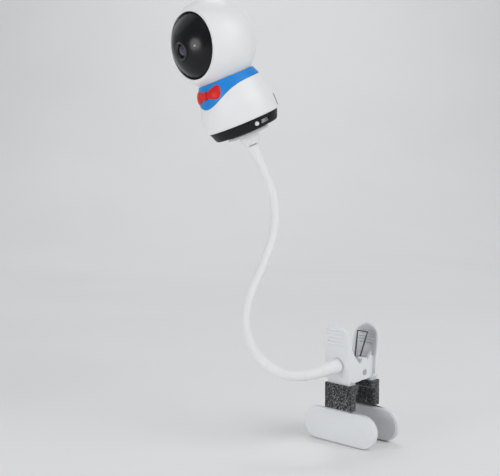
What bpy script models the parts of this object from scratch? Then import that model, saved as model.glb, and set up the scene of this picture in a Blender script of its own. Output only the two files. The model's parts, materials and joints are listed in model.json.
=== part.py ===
"""Baby monitor camera: a ball-headed pan and tilt camera on a flexible neck with a spring clip.

Frame: the origin is the centre of the front jaw's gripping face, +X runs along the rail,
+Y points into the rail and +Z is up. Sizes below are in millimetres; MM turns them into metres.
"""

import math

import bmesh
import bpy
import numpy as np
from mathutils import Matrix, Vector

MM = 0.001
GAP = 0.3

# Camera body, measured up its own axis from the underside of the base
BASE_R_LOW = 30.0
BASE_R_TOP = 33.4
BASE_TOP = 9.1
TORSO_R = 35.4
TORSO_WALL = 2.0
COLLAR_TOP = 52.0
NECK_R = 26.4
DECK_LOW = 40.2
DECK_TOP = 42.2
BAND_THICK = 0.7
BAND_LOW = 44.4
BIB_DROP = 13.1
BIB_SPREAD = 42.0

# Head and eye
HEAD_Z = 83.8
HEAD_R = 40.0
HEAD_WALL = 2.0
LIP_DISTANCE = 23.8
FACE_RISE = 12.0
LENS_RISE = 6.0
DOME_R = 36.5
DOME_WALL = 1.5
DOME_SPREAD = 92.0
LENS_RING_R = 7.9
SENSOR_SIDE_ANGLE = 26.0
HUB_R = 5.5

# Gears
PAN_MODULE = 0.6
PAN_TEETH = 40
TILT_MODULE = 0.5
TILT_TEETH = 36
PINION_TEETH = 12

# Side fittings in the base, as angles round from the front
USB_ANGLE = 86.0
BUTTON_ANGLE = 69.0
SIDE_FITTING_Z = 4.4

# Mount under the base
STUD_R = 3.1
PLATE_R = 19.5
NUT_TOP_R = 9.4
NUT_LOW_R = 7.8
FERRULE_TOP = -14.8
FERRULE_END = -31.5

# Where the camera stands, and how it leans
BASE_CENTRE = (-94.7, -24.3, 262.5)
CAMERA_UP = (-0.186, -0.351, 0.918)
CAMERA_RIGHT = (0.981, -0.12, 0.153)

# Neck: the points where its links meet, from the clip to the camera
NECK_R_OUT = 4.4
NECK_CORE_R = 2.6
LINK_GAP = 1.9
FIRST_LINK_GAP = 1.7
NECK_KNEES = (
    (0.0, -31.1, 52.9),
    (-16.3, -57.9, 52.6),
    (-42.9, -65.4, 67.7),
    (-64.1, -57.1, 90.7),
    (-74.0, -39.5, 115.9),
    (-76.0, -20.6, 142.2),
    (-76.8, -6.4, 171.7),
    (-81.5, -3.4, 203.4),
    (-88.85, -13.15, 233.3),
)

# Clip
PIVOT_Y = 13.0
PIVOT_Z = 48.0
LEVER_HALF_WIDTH = 13.5
FRONT_TOP = 92.5
REAR_TOP = 88.0
PAD_HALF_LENGTH = 39.0
PAD_HALF_HEIGHT = 14.5
PAD_FACE = 6.5
FELT_THICK = 1.6

bpy.context.preferences.edit.use_global_undo = False
for old in list(bpy.data.objects):
    bpy.data.objects.remove(old, do_unlink=True)
for stale in list(bpy.data.materials):
    bpy.data.materials.remove(stale)


# ---------------------------------------------------------------- helpers


def material(name, colour, roughness, metallic=0.0, alpha=1.0):
    made = bpy.data.materials.new(name)
    made.use_nodes = True
    shader = made.node_tree.nodes["Principled BSDF"]
    shader.inputs["Base Color"].default_value = (*colour, 1.0)
    shader.inputs["Roughness"].default_value = roughness
    shader.inputs["Metallic"].default_value = metallic
    shader.inputs["Alpha"].default_value = alpha
    made.diffuse_color = (*colour, alpha)
    return made


STANDS = {}


def frame(name, matrix, parent=None):
    """An empty that carries the pieces of one moving body; its origin is on the body's joint."""
    empty = bpy.data.objects.new(name, None)
    bpy.context.scene.collection.objects.link(empty)
    empty.empty_display_size = 0.01
    empty.parent = parent
    empty.matrix_local = matrix
    STANDS[name] = STANDS[parent.name] @ matrix if parent else matrix
    return empty


def world_frame(name, matrix, parent):
    """The same, placed by its world matrix."""
    return frame(name, STANDS[parent.name].inverted() @ matrix, parent)


def at(x, y, z):
    return Matrix.Translation(Vector((x, y, z)) * MM)


def turn(axis, degrees):
    return Matrix.Rotation(math.radians(degrees), 4, axis)


def piece(name, points, faces, finish, parent, smooth=True):
    """A closed mesh object from points in millimetres in its parent's frame."""
    mesh = bpy.data.meshes.new(name)
    mesh.from_pydata([Vector(p) * MM for p in points], [], [tuple(f) for f in faces])
    shape = bmesh.new()
    shape.from_mesh(mesh)
    bmesh.ops.remove_doubles(shape, verts=shape.verts, dist=1e-7)
    bmesh.ops.recalc_face_normals(shape, faces=shape.faces)
    shape.to_mesh(mesh)
    shape.free()
    mesh.polygons.foreach_set("use_smooth", [smooth] * len(mesh.polygons))
    obj = bpy.data.objects.new(name, mesh)
    bpy.context.scene.collection.objects.link(obj)
    if finish is not None:
        mesh.materials.append(finish)
    obj.parent = parent
    return obj


AIMS = {
    "+Z": Matrix.Identity(3),
    "-Y": Matrix.Rotation(math.radians(90), 3, "X"),
    "+Y": Matrix.Rotation(math.radians(-90), 3, "X"),
    "+X": Matrix.Rotation(math.radians(90), 3, "Y"),
    "-X": Matrix.Rotation(math.radians(-90), 3, "Y"),
}


def lathe(name, profile, finish, parent, sides=32, aim="+Z", centre=(0, 0, 0), ring=False):
    """Revolves (radius, height) points; aim is where the height points, a ring closes on itself."""
    points = []
    rows = []
    for radius, height in profile:
        if radius < 1e-9:
            rows.append([len(points)] * sides)
            points.append((0.0, 0.0, height))
            continue
        rows.append(list(range(len(points), len(points) + sides)))
        for k in range(sides):
            angle = 2 * math.pi * k / sides
            points.append((radius * math.cos(angle), radius * math.sin(angle), height))
    faces = []
    pairs = list(zip(rows, rows[1:])) + ([(rows[-1], rows[0])] if ring else [])
    for low, high in pairs:
        for k in range(sides):
            after = (k + 1) % sides
            corners = [low[k], low[after], high[after], high[k]]
            corners = [c for i, c in enumerate(corners) if c not in corners[:i]]
            if len(corners) > 2:
                faces.append(corners)
    matrix = aim if isinstance(aim, Matrix) else AIMS[aim]
    offset = Vector(centre)
    placed = [matrix @ Vector(p) + offset for p in points]
    return piece(name, placed, faces, finish, parent)


def rod(name, radius, low, high, finish, parent, sides=24, aim="+Z", centre=(0, 0, 0), edge=0.3):
    profile = (
        (0, low),
        (radius - edge, low),
        (radius, low + edge),
        (radius, high - edge),
        (radius - edge, high),
        (0, high),
    )
    return lathe(name, profile, finish, parent, sides, aim, centre)


def tube(name, outer, inner, low, high, finish, parent, sides=24, aim="+Z", centre=(0, 0, 0)):
    profile = ((inner, low), (outer, low), (outer, high), (inner, high))
    return lathe(name, profile, finish, parent, sides, aim, centre, ring=True)


def box(name, low, high, finish, parent, turned=None):
    corners = [(x, y, z) for x in (low[0], high[0]) for y in (low[1], high[1]) for z in (low[2], high[2])]
    if turned is not None:
        corners = [turned @ Vector(c) for c in corners]
    faces = ((0, 1, 3, 2), (4, 6, 7, 5), (0, 4, 5, 1), (2, 3, 7, 6), (0, 2, 6, 4), (1, 5, 7, 3))
    return piece(name, corners, faces, finish, parent, smooth=False)


def prism(name, outline, low, high, finish, parent, along="Z"):
    """Extrudes a closed outline: (x, y) along Z, (x, z) along Y or (y, z) along X."""
    spots = {
        "Z": lambda a, b, c: (a, b, c),
        "Y": lambda a, b, c: (a, c, b),
        "X": lambda a, b, c: (c, a, b),
    }[along]
    count = len(outline)
    points = [spots(a, b, c) for c in (low, high) for a, b in outline]
    faces = [list(range(count)), list(range(count, 2 * count))]
    faces += [[k, (k + 1) % count, count + (k + 1) % count, count + k] for k in range(count)]
    return piece(name, points, faces, finish, parent, smooth=False)


def combine(obj, other, operation):
    """A live exact Boolean; the other shape stays in the scene as a hidden helper."""
    step = obj.modifiers.new(operation.lower() + "_" + other.name, "BOOLEAN")
    step.operation = operation
    step.solver = "EXACT"
    step.object = other
    other.hide_render = True
    other.display_type = "WIRE"


def cut(obj, *others):
    for other in others:
        combine(obj, other, "DIFFERENCE")


def fuse(obj, *others):
    for other in others:
        combine(obj, other, "UNION")


def arc(radius, start, end, steps, centre=(0.0, 0.0)):
    """Points on a circle, angles in degrees from the first axis to the second."""
    turns = [math.radians(start + (end - start) * k / steps) for k in range(steps + 1)]
    return [(centre[0] + radius * math.cos(a), centre[1] + radius * math.sin(a)) for a in turns]


def stadium(half_length, half_height, steps=12):
    reach = half_length - half_height
    right = arc(half_height, -90, 90, steps, (reach, 0.0))
    left = arc(half_height, 90, 270, steps, (-reach, 0.0))
    return right + left


def gear_outline(teeth, module, phase=0.0):
    """Tapered teeth with play at the pitch circle; phase is in teeth."""
    pitch = module * teeth / 2
    levels = ((pitch - 1.2 * module, 0.34), (pitch + 0.9 * module, 0.11))
    points = []
    for tooth in range(teeth):
        middle = tooth + phase
        for radius, half in levels:
            points.append((radius, middle - half))
        for radius, half in reversed(levels):
            points.append((radius, middle + half))
    step = 2 * math.pi / teeth
    return [(r * math.cos(t * step), r * math.sin(t * step)) for r, t in points]


def sweep(name, path, radius, finish, parent, sides=16, bore=None):
    """A round bar along a path of points, or a tube when it has a bore."""
    path = [Vector(p) for p in path]
    last = len(path) - 1
    tangents = [(path[min(k + 1, last)] - path[max(k - 1, 0)]).normalized() for k in range(last + 1)]
    side = tangents[0].orthogonal().normalized()
    rings = []
    for spot, tangent in zip(path, tangents):
        side = (side - tangent * side.dot(tangent)).normalized()
        up = tangent.cross(side)
        turns = [2 * math.pi * k / sides for k in range(sides)]
        rings.append([(spot, side * math.cos(a) + up * math.sin(a)) for a in turns])
    points = [spot + out * radius for ring in rings for spot, out in ring]
    faces = []
    last = len(rings) - 1
    for row in range(last):
        for k in range(sides):
            a = row * sides + k
            b = row * sides + (k + 1) % sides
            faces.append([a, b, b + sides, a + sides])
    if bore is None:
        faces.append(list(range(sides)))
        faces.append([last * sides + k for k in range(sides)])
        return piece(name, points, faces, finish, parent)
    inner = len(points)
    points += [spot + out * bore for ring in rings for spot, out in ring]
    faces += [[inner + c for c in face] for face in faces]
    for row in (0, last):
        for k in range(sides):
            a = row * sides + k
            b = row * sides + (k + 1) % sides
            faces.append([a, b, inner + b, inner + a])
    return piece(name, points, faces, finish, parent)


def curve_through(knees, start, end, per_link):
    """A smooth curve through the knees with set end directions: one list of points per link."""
    knots = [Vector(k) for k in knees]
    slopes = [(knots[min(k + 1, len(knots) - 1)] - knots[max(k - 1, 0)]) / 2 for k in range(len(knots))]
    slopes[0] = Vector(start).normalized() * (knots[1] - knots[0]).length
    slopes[-1] = Vector(end).normalized() * (knots[-1] - knots[-2]).length
    links = []
    for k in range(len(knots) - 1):
        points = []
        for step in range(per_link + 1):
            t = step / per_link
            a = 2 * t**3 - 3 * t**2 + 1
            b = t**3 - 2 * t**2 + t
            near = knots[k] * a + slopes[k] * b
            points.append(near + knots[k + 1] * (1 - a) + slopes[k + 1] * (t**3 - t**2))
        links.append(points)
    return links


def trimmed(points, start_trim, end_trim):
    """The path with a length taken off each end."""
    kept = [Vector(p) for p in points]
    for trim in (end_trim, start_trim):
        kept.reverse()
        while trim > 0 and (kept[1] - kept[0]).length <= trim:
            trim -= (kept[1] - kept[0]).length
            kept.pop(0)
        kept[0] = kept[0] + (kept[1] - kept[0]).normalized() * trim
    return kept


# ---------------------------------------------------------------- materials

WHITE = material("white_plastic", (0.86, 0.87, 0.88), 0.35)
PALE = material("pale_plastic", (0.8, 0.81, 0.82), 0.4)
SLEEVE = material("neck_sleeve", (0.86, 0.86, 0.86), 0.55)
BLACK = material("black_plastic", (0.02, 0.02, 0.022), 0.45)
DOME = material("dome_gloss", (0.008, 0.008, 0.01), 0.05)
GLASS = material("lens_glass", (0.05, 0.06, 0.09), 0.03)
BLUE = material("band_blue", (0.015, 0.24, 0.68), 0.35)
RED = material("bow_red", (0.72, 0.03, 0.02), 0.35)
FELT = material("grey_felt", (0.13, 0.13, 0.14), 0.95)
LINER = material("jaw_liner", (0.75, 0.76, 0.78), 0.8)
RUBBER = material("black_rubber", (0.03, 0.03, 0.03), 0.85)
STEEL = material("steel", (0.6, 0.6, 0.62), 0.3, 1.0)
SPRING = material("spring_wire", (0.18, 0.18, 0.19), 0.35, 1.0)
BRASS = material("brass", (0.75, 0.55, 0.25), 0.35, 1.0)
BOARD = material("circuit_board", (0.02, 0.16, 0.07), 0.5)
NYLON = material("gear_nylon", (0.85, 0.85, 0.8), 0.5)

# ---------------------------------------------------------------- frames of the moving bodies

up = Vector(CAMERA_UP).normalized()
right = Vector(CAMERA_RIGHT)
right = (right - up * right.dot(up)).normalized()
ahead = up.cross(right)
lean = Matrix((right, ahead, up)).transposed().to_4x4()

clip = frame("clip_frame", Matrix.Identity(4))
rear = frame("rear_lever_frame", at(0, PIVOT_Y, PIVOT_Z), clip)
neck = []
for number, knee in enumerate(NECK_KNEES[:-1]):
    neck.append(world_frame("neck_frame_%d" % (number + 1), at(*knee), neck[-1] if neck else clip))
stand = world_frame("stud_frame", at(*BASE_CENTRE) @ lean, neck[-1])
camera = frame("camera_frame", Matrix.Identity(4), stand)
plate_body = frame("plate_frame", Matrix.Identity(4), stand)
nut_body = frame("lock_nut_frame", Matrix.Identity(4), plate_body)
head = frame("head_frame_origin", at(0, 0, HEAD_Z), camera)
eye = frame("eye_frame_origin", turn("X", -LENS_RISE), head)
fitting = frame("usb_frame", at(0, 0, SIDE_FITTING_Z) @ turn("Z", USB_ANGLE - 90), camera)
button = frame("button_frame", turn("Z", BUTTON_ANGLE - 90) @ at(BASE_R_LOW, 0, SIDE_FITTING_Z), camera)

# ---------------------------------------------------------------- torso

FLARE = (
    (9.4, 35.0),
    (10.6, TORSO_R),
    (24.2, 35.0),
    (34.2, 32.3),
    (40.7, 30.6),
    (44.4, 29.7),
    (COLLAR_TOP, NECK_R),
)


def torso_r(height):
    heights = [h for h, _ in FLARE] + [COLLAR_TOP + 2.0]
    radii = [r for _, r in FLARE] + [NECK_R - 0.87]
    return float(np.interp(height, heights, radii))


def torso_skin(name, offset, low, high, rows, finish):
    """A solid that fills the torso's outline, grown outwards by an offset."""
    heights = [low + (high - low) * k / rows for k in range(rows + 1)]
    profile = [(0, low)] + [(torso_r(h) + offset, h) for h in heights] + [(0, high)]
    return lathe(name, profile, finish, camera, 48)


def band_low(angle):
    """Lower edge of the coloured band: level all round, dipping into a bib at the front."""
    away = abs((angle + 90 + 180) % 360 - 180)
    return BAND_LOW - BIB_DROP * math.exp(-((away / BIB_SPREAD) ** 2))


def band(name, thick, outside, drop, top, finish):
    """The band as a curved strip that follows the torso's outline."""
    sides = 48
    rows = 5
    points = []
    for depth in (outside, -thick):
        for row in range(rows + 1):
            for k in range(sides):
                angle = 360 * k / sides
                low = band_low(angle) - drop
                height = low + (top - low) * row / rows
                radius = torso_r(height) + depth
                turned = math.radians(angle)
                points.append((radius * math.cos(turned), radius * math.sin(turned), height))
    faces = []
    inner = (rows + 1) * sides
    for k in range(sides):
        after = (k + 1) % sides
        for row in range(rows):
            a = row * sides
            faces.append([a + k, a + after, a + sides + after, a + sides + k])
            b = inner + a
            faces.append([b + k, b + sides + k, b + sides + after, b + after])
        for row in (0, rows):
            a = row * sides
            faces.append([a + k, a + after, inner + a + after, inner + a + k])
    return piece(name, points, faces, finish, camera)


outer = [(r, h) for h, r in FLARE]
inner = [(24.75, COLLAR_TOP), (24.4, 50.2), (27.4, 44.4), (28.5, 40.7), (30.0, 34.2)]
inner += [(32.4, 24.2), (32.6, 9.4)]
torso = lathe("torso_shell", outer + inner, WHITE, camera, 48, ring=True)
cut(torso, band("band_recess", BAND_THICK + GAP, 1.0, GAP, COLLAR_TOP + 1.0, None))
band("scarf_band", BAND_THICK, 0.0, 0.0, COLLAR_TOP, BLUE)

# Speaker grille in a window at the back
grille_low = 11.8
grille_high = 22.0


def wall_patch(name, half_angle, inside, outside, low, high, finish):
    edge = arc(outside, 90 - half_angle, 90 + half_angle, 24)
    edge += arc(inside, 90 + half_angle, 90 - half_angle, 24)
    return prism(name, edge, low, high, finish, camera)


grille_angle = 55.0
grille_slots = 21
window_low = grille_low - GAP
window_high = grille_high + GAP
cut(torso, wall_patch("grille_window", grille_angle + 0.6, 28.0, 38.0, window_low, window_high, None))
grille = wall_patch("speaker_grille", grille_angle, 33.4, 35.1, grille_low, grille_high, BLACK)
for slot in range(grille_slots):
    slot_frame = frame("grille_slot_frame_%d" % slot, turn("Z", (slot - grille_slots // 2) * 4.9), camera)
    cut(grille, box("grille_slot_%d" % slot, (-0.55, 30, 13.6), (0.55, 38, 20.2), None, slot_frame))
speaker_profile = [(0, 26.0), (7.4, 26.0), (7.4, 28.5), (8.0, 29.2), (8.0, 30.4)]
speaker_profile += [(6.5, 30.4), (2.5, 28.8), (0, 29.4)]
lathe("speaker", speaker_profile, BLACK, camera, 24, "+Y", (0, 0, 17.0))

# Bow tie: two lobes and a knot wrapped onto the front of the band
bow_z = 43.4
half_bow = [(0.0, 2.4), (3.0, 2.7), (6.5, 4.6), (10.5, 6.0), (13.6, 6.0), (15.6, 4.2), (16.6, 0.6)]
lower = [(16.4, -2.6), (15.0, -4.8), (12.4, -6.0), (8.5, -5.2), (5.5, -3.8), (3.0, -2.7), (0.0, -2.4)]
right_side = half_bow + lower
bow_outline = [(x, bow_z + z) for x, z in right_side]
bow_outline += [(-x, bow_z + z) for x, z in reversed(right_side[1:-1])]
bow = prism("bow_tie", bow_outline, -40, -15, RED, camera, "Y")
combine(bow, torso_skin("bow_front", 3.0, 30, COLLAR_TOP, 8, None), "INTERSECT")
cut(bow, torso_skin("bow_back", GAP, 29, COLLAR_TOP + 1, 8, None))

# Deck that carries the head's hub and the pan motor
deck = tube("pan_deck", 27.9, HUB_R + 0.4, DECK_LOW, DECK_TOP, PALE, camera, 36)
pan_distance = PAN_MODULE * (PAN_TEETH + PINION_TEETH) / 2
cut(deck, rod("motor_hole", 3.0, 38, 44, None, camera, 16, centre=(0, pan_distance, 0)))
pan_motor = rod("pan_motor", 9.0, 19.0, 35.2, STEEL, camera, 28, centre=(0, pan_distance, 0), edge=0.6)
fuse(pan_motor, rod("pan_shaft", 1.5, 34.0, 39.6, None, camera, 12, centre=(0, pan_distance, 0)))

# ---------------------------------------------------------------- base

base_outer = [(5.7, 0.0), (28.8, 0.0), (BASE_R_LOW, 0.9), (BASE_R_TOP, BASE_TOP), (30.9, BASE_TOP)]
base_inner = [(28.0, 2.4), (5.7, 2.4)]
base = lathe("base_cover", base_outer + base_inner, BLACK, camera, 48, ring=True)
cut(base, box("usb_mouth", (24, -4.6, -1.8), (36, 4.6, 1.8), None, fitting))
cut(base, rod("button_hole", 2.45, -6, 6, None, button, 20, "+X"))
insert_profile = [(STUD_R + 0.35, -0.2), (5.4, -0.2), (5.4, 6.5), (7.2, 6.5), (7.2, 8.4)]
insert_profile.append((STUD_R + 0.35, 8.4))
lathe("threaded_insert", insert_profile, BRASS, camera, 24, ring=True)

usb = box("usb_socket", (23.2, -4.2, -1.4), (30.2, 4.2, 1.4), STEEL, fitting)
cut(usb, box("usb_cavity", (24.8, -3.8, -1.1), (32, 3.8, 1.1), None, fitting))
fuse(usb, box("usb_tongue", (24.2, -2.6, -0.3), (29.6, 2.6, 0.3), None, fitting))
rod("pair_button", 2.15, -3.4, 1.9, PALE, button, 20, "+X", edge=0.4)

# Main board, with its chip, microphone and the button's switch soldered on
board = tube("main_board", 29.2, 8.4, 7.0, 8.6, BOARD, camera, 36)
cut(board, box("board_notch", (-12, 20, 5), (12, 40, 14), None, camera))
fuse(board, box("video_chip", (-16, -20, 8.2), (-3, -8, 10.0), None, camera))
fuse(board, rod("microphone", 2.0, 7.5, 10.2, None, camera, 16, centre=(14, -18, 0)))
fuse(board, box("button_switch", (-6.6, -1.7, -1.8), (-4.2, 1.7, 3.2), None, button))

# ---------------------------------------------------------------- head

head_outer = arc(HEAD_R, 90, -82, 18)
head_inner = arc(HEAD_R - HEAD_WALL, -84.6, 90, 12)
hub = [(HUB_R, -48.3), (3.5, -48.3)]
head_profile = [(max(r, 0.0) if abs(r) > 1e-6 else 0.0, z) for r, z in head_outer + hub + head_inner]
shell = lathe("head_shell", head_profile, WHITE, head, 40)
face = frame("face_frame", turn("X", -FACE_RISE), head)
cut(shell, box("face_opening", (-60, -80, -60), (60, -LIP_DISTANCE, 60), None, face))

# Yoke inside the head, with arms that carry the eye on the tilt axis
yoke = box("head_yoke", (-23.5, 24.0, -4.5), (23.5, 26.8, 4.5), PALE, head)
tilt_distance = TILT_MODULE * (TILT_TEETH + PINION_TEETH) / 2
fuse(yoke, rod("yoke_boss", 4.0, 26.0, 37.2, None, head, 20, "+Y"))
fuse(yoke, box("yoke_saddle", (-8, tilt_distance + 7.8, -4.0), (7, 24.5, 4.0), None, head))
for side in (-1, 1):
    x_low = min(side * 20.2, side * 23.5)
    x_high = max(side * 20.2, side * 23.5)
    fuse(yoke, box("yoke_arm_%d" % side, (x_low, -1.0, -4.0), (x_high, 24.5, 4.0), None, head))
    fuse(yoke, rod("yoke_ear_%d" % side, 4.6, x_low, x_high, None, head, 24, "+X"))
cut(yoke, rod("yoke_bore", 2.05, -30, 30, None, head, 24, "+X"))

tilt_motor = rod("tilt_motor", 7.5, -9.0, 8.5, STEEL, head, 24, "+X", (0, tilt_distance, 0), 0.5)
fuse(tilt_motor, rod("tilt_shaft", 1.0, 7.0, 16.0, None, head, 12, "+X", (0, tilt_distance, 0)))

# ---------------------------------------------------------------- eye

lens_angle = math.degrees(math.asin((LENS_RING_R + GAP) / DOME_R))
rim = 90 - DOME_SPREAD
dome_in_r = DOME_R - DOME_WALL
inner_angle = math.degrees(math.asin((LENS_RING_R + GAP) / dome_in_r))
dome_profile = arc(DOME_R, 90 - lens_angle, rim, 12) + arc(dome_in_r, rim, 90 - inner_angle, 8)
dome = lathe("dome_cover", dome_profile, DOME, eye, 40, "-Y", ring=True)
sensor_aim = Matrix.Rotation(math.radians(SENSOR_SIDE_ANGLE), 3, "Z") @ AIMS["-Y"]
cut(dome, rod("sensor_hole", 1.4, 30, 40, None, eye, 16, sensor_aim))
rod("light_sensor", 1.1, 33.2, 36.5, GLASS, eye, 16, sensor_aim)

ring_profile = [(5.3, 33.2), (7.5, 33.2), (LENS_RING_R, 34.0), (LENS_RING_R, 36.6)]
ring_profile += [(7.4, 37.2), (6.0, 37.0), (5.3, 35.6)]
lathe("lens_ring", ring_profile, BLACK, eye, 32, "-Y", ring=True)
glass_profile = [(0, 33.4), (5.0, 33.4), (5.0, 34.2)] + [(4.0, 34.9), (2.6, 35.4), (1.3, 35.65), (0, 35.7)]
lathe("lens_glass", glass_profile, GLASS, eye, 28, "-Y")
barrel_profile = ((0, 14.8), (6.8, 14.8), (6.8, 32.9), (5.0, 32.9), (3.4, 27.0), (3.4, 20.0), (0, 20.0))
lathe("lens_barrel", barrel_profile, BLACK, eye, 28, "-Y")
box("image_sensor_board", (-9, -14.5, -7), (9, -13.3, 7), BOARD, eye)
tube("ir_led_board", 23.2, 8.6, 24.2, 25.4, BOARD, eye, 36, "-Y")

eye_frame = rod("eye_frame", 31.7, 10.6, 13.0, BLACK, eye, 36, "-Y")
for side in (-1, 1):
    x_low = min(side * 16.6, side * 19.8)
    x_high = max(side * 16.6, side * 19.8)
    fuse(eye_frame, box("eye_cheek_%d" % side, (x_low, -11.5, -4.6), (x_high, 4.0, 4.6), None, eye))
pin_profile = ((0, 17.0), (2.0, 17.0), (2.0, 23.9), (0, 23.9))
fuse(eye_frame, lathe("eye_pin_1", pin_profile, None, eye, 24, "+X"))
fuse(eye_frame, lathe("eye_pin_2", pin_profile, None, eye, 24, "-X"))

# ---------------------------------------------------------------- gear pairs


def gear(name, teeth, module, low, high, bore, finish, parent, along, centre=(0.0, 0.0), phase=0.0):
    shift = [(a + centre[0], b + centre[1]) for a, b in gear_outline(teeth, module, phase)]
    wheel = prism(name, shift, low, high, finish, parent, along)
    span = (low - 1, high + 1)
    if along == "Z":
        cut(wheel, rod(name + "_bore", bore, *span, None, parent, 20, "+Z", (*centre, 0)))
    else:
        cut(wheel, rod(name + "_bore", bore, *span, None, parent, 20, "+X", (0, *centre)))
    return wheel


# The big gears have a tooth towards the pinion, and each pinion a space towards the gear
gear("pan_gear", PAN_TEETH, PAN_MODULE, -47.6, -44.2, HUB_R + GAP, NYLON, head, "Z")
pan_pinion_body = frame("pan_pinion_frame", at(0, pan_distance, 0), camera)
gear("pan_pinion", PINION_TEETH, PAN_MODULE, 36.2, 39.6, 1.8, BRASS, pan_pinion_body, "Z", (0, 0), 0.5)
gear("tilt_gear", TILT_TEETH, TILT_MODULE, 12.6, 16.0, 1.6, NYLON, eye, "X", (0, 0), LENS_RISE / 10)
tilt_pinion_body = frame("tilt_pinion_frame", at(0, tilt_distance, 0), head)
gear("tilt_pinion", PINION_TEETH, TILT_MODULE, 12.6, 16.0, 1.3, BRASS, tilt_pinion_body, "X", (0, 0), 0.5)

# ---------------------------------------------------------------- mount under the base

rod("mount_stud", STUD_R, -20.0, 6.0, STEEL, stand, 20)
tube("mount_plate", PLATE_R, STUD_R + 0.4, -4.0, -1.2, PALE, plate_body, 40)
tube("plate_pad", 18.0, STUD_R + 0.9, -0.9, -0.3, RUBBER, plate_body, 40)
nut_profile = [(STUD_R + 0.35, -4.3), (NUT_TOP_R, -4.3), (NUT_TOP_R, -6.0), (NUT_LOW_R, -13.2)]
nut_profile.append((STUD_R + 0.35, -13.2))
lathe("lock_nut", nut_profile, WHITE, nut_body, 28, ring=True)
ferrule_profile = (
    (0, FERRULE_END),
    (4.6, FERRULE_END),
    (4.9, FERRULE_END + 5.5),
    (5.5, FERRULE_END + 12.0),
    (5.7, FERRULE_TOP - 0.8),
    (5.2, FERRULE_TOP),
    (STUD_R + GAP, FERRULE_TOP),
    (STUD_R + GAP, -20.3),
    (0, -20.3),
)
lathe("top_ferrule", ferrule_profile, WHITE, stand, 24)

# ---------------------------------------------------------------- neck

ferrule_dir = Vector((0.0, -math.cos(math.radians(6)), -math.sin(math.radians(6))))
links = curve_through(NECK_KNEES, ferrule_dir, up, 4)
last_link = len(links) - 1
for number, path in enumerate(links):
    knee = Vector(NECK_KNEES[number])
    local_path = [point - knee for point in path]
    start_trim = FIRST_LINK_GAP if number == 0 else LINK_GAP / 2
    end_trim = GAP if number == last_link else LINK_GAP / 2
    sleeve_path = trimmed(local_path, start_trim, end_trim)
    core_path = trimmed(local_path, start_trim - 0.2, end_trim)
    sleeve_name = "neck_sleeve_%d" % (number + 1)
    sweep(sleeve_name, sleeve_path, NECK_R_OUT, SLEEVE, neck[number], 12, NECK_CORE_R + GAP)
    sweep("neck_core_%d" % (number + 1), core_path, NECK_CORE_R, STEEL, neck[number], 8)

# ---------------------------------------------------------------- clip


def lever_outline(top, lean_out, wall):
    """Side view of the front lever as (y, z): foot, jaw arm, neck and handle."""
    return [
        (-5.3, -8.0),
        (-3.1, -8.0),
        (-3.1, 14.9),
        (-1.8, 16.0),
        (-1.8, 31.5),
        (1.6, 34.0),
        (1.6, 40.5),
        (-2.5, 44.5),
        (-2.5 - 0.6, 58.0),
        (-lean_out + wall, top),
        (-lean_out, top),
        (-6.5, 40.5),
        (-6.5, 14.9),
        (-5.3, 14.9),
    ]


def mirrored(outline):
    return [(2 * PIVOT_Y - y, z) for y, z in reversed(outline)]


def felt_outline(grow):
    return [
        (-6.5 - grow, 15.6),
        (-1.8 + grow * 0.85, 15.6),
        (-1.8 + grow * 0.85, 31.5 - grow * 0.4),
        (1.6 + grow, 33.6 - grow * 0.4),
        (1.6 + grow, 38.6),
        (-6.5 - grow, 38.6),
    ]


def handle_mask(name, width, top, parent, low=-9.0, arm=12.0):
    """Front view of a lever as (x, z): a narrow foot, the jaw arm and a handle with a round top."""
    crown = arc(width, 0, 180, 14, (0.0, top - width))
    outline = [(-10, low), (10, low), (10, 14.9), (arm, 14.9), (arm, 40.0), (width, 42.5)] + crown
    outline += [(-width, 42.5), (-arm, 40.0), (-arm, 14.9), (-10, 14.9)]
    return prism(name, outline, -40, 70, None, parent, "Y")


def cheek(name, side, x_in, x_out, flip, parent):
    """A side wall that runs from the lever's plate to the pivot."""
    wall = [(-4.6, 40.8), (4.0, 40.8), (8.6, 41.5)]
    wall += arc(7.6, -60, 40, 8, (PIVOT_Y, PIVOT_Z))
    wall += [(17.2, 57.6), (16.2, 60.4), (13.0, 61.2), (9.8, 60.4), (8.8, 57.2)]
    wall += [(5.8, 55.8), (-2.7, 66.0), (-6.0, 72.0)]
    if flip:
        wall = mirrored(wall)
    x_low = min(side * x_in, side * x_out)
    x_high = max(side * x_in, side * x_out)
    return prism(name, wall, x_low, x_high, None, parent, "X")


def lever(name, flip, top, lean_out, x_in, x_out, parent):
    outline = lever_outline(top, lean_out, 3.2)
    if flip:
        outline = mirrored(outline)
    made = prism(name, outline, -16, 16, WHITE, parent, "X")
    combine(made, handle_mask(name + "_mask", LEVER_HALF_WIDTH, top, parent), "INTERSECT")
    for side in (-1, 1):
        fuse(made, cheek("%s_cheek_%d" % (name, side), side, x_in, x_out, flip, parent))
    cut(made, rod(name + "_pivot_hole", 2.25, -20, 20, None, parent, 20, "+X", (0, PIVOT_Y, PIVOT_Z)))
    for row in range(5):
        z = top - 19.0 + row * 3.2
        share = (z - 40.5) / (top - 40.5)
        y = -6.5 + (6.5 - lean_out) * share
        y_mid = 2 * PIVOT_Y - y if flip else y
        low, high = (-9, y_mid - 0.6, z - 0.5), (9, y_mid + 0.6, z + 0.5)
        cut(made, box("%s_groove_%d" % (name, row), low, high, None, parent))
    return made


front_lever = lever("front_lever", False, FRONT_TOP, 12.2, 10.9, LEVER_HALF_WIDTH, clip)
lever_seat = at(0, -PIVOT_Y, -PIVOT_Z)
rear_parts = frame("rear_lever_pieces", lever_seat, rear)
rear_lever = lever("rear_lever", True, REAR_TOP, 11.8, 7.7, 10.4, rear_parts)

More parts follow.
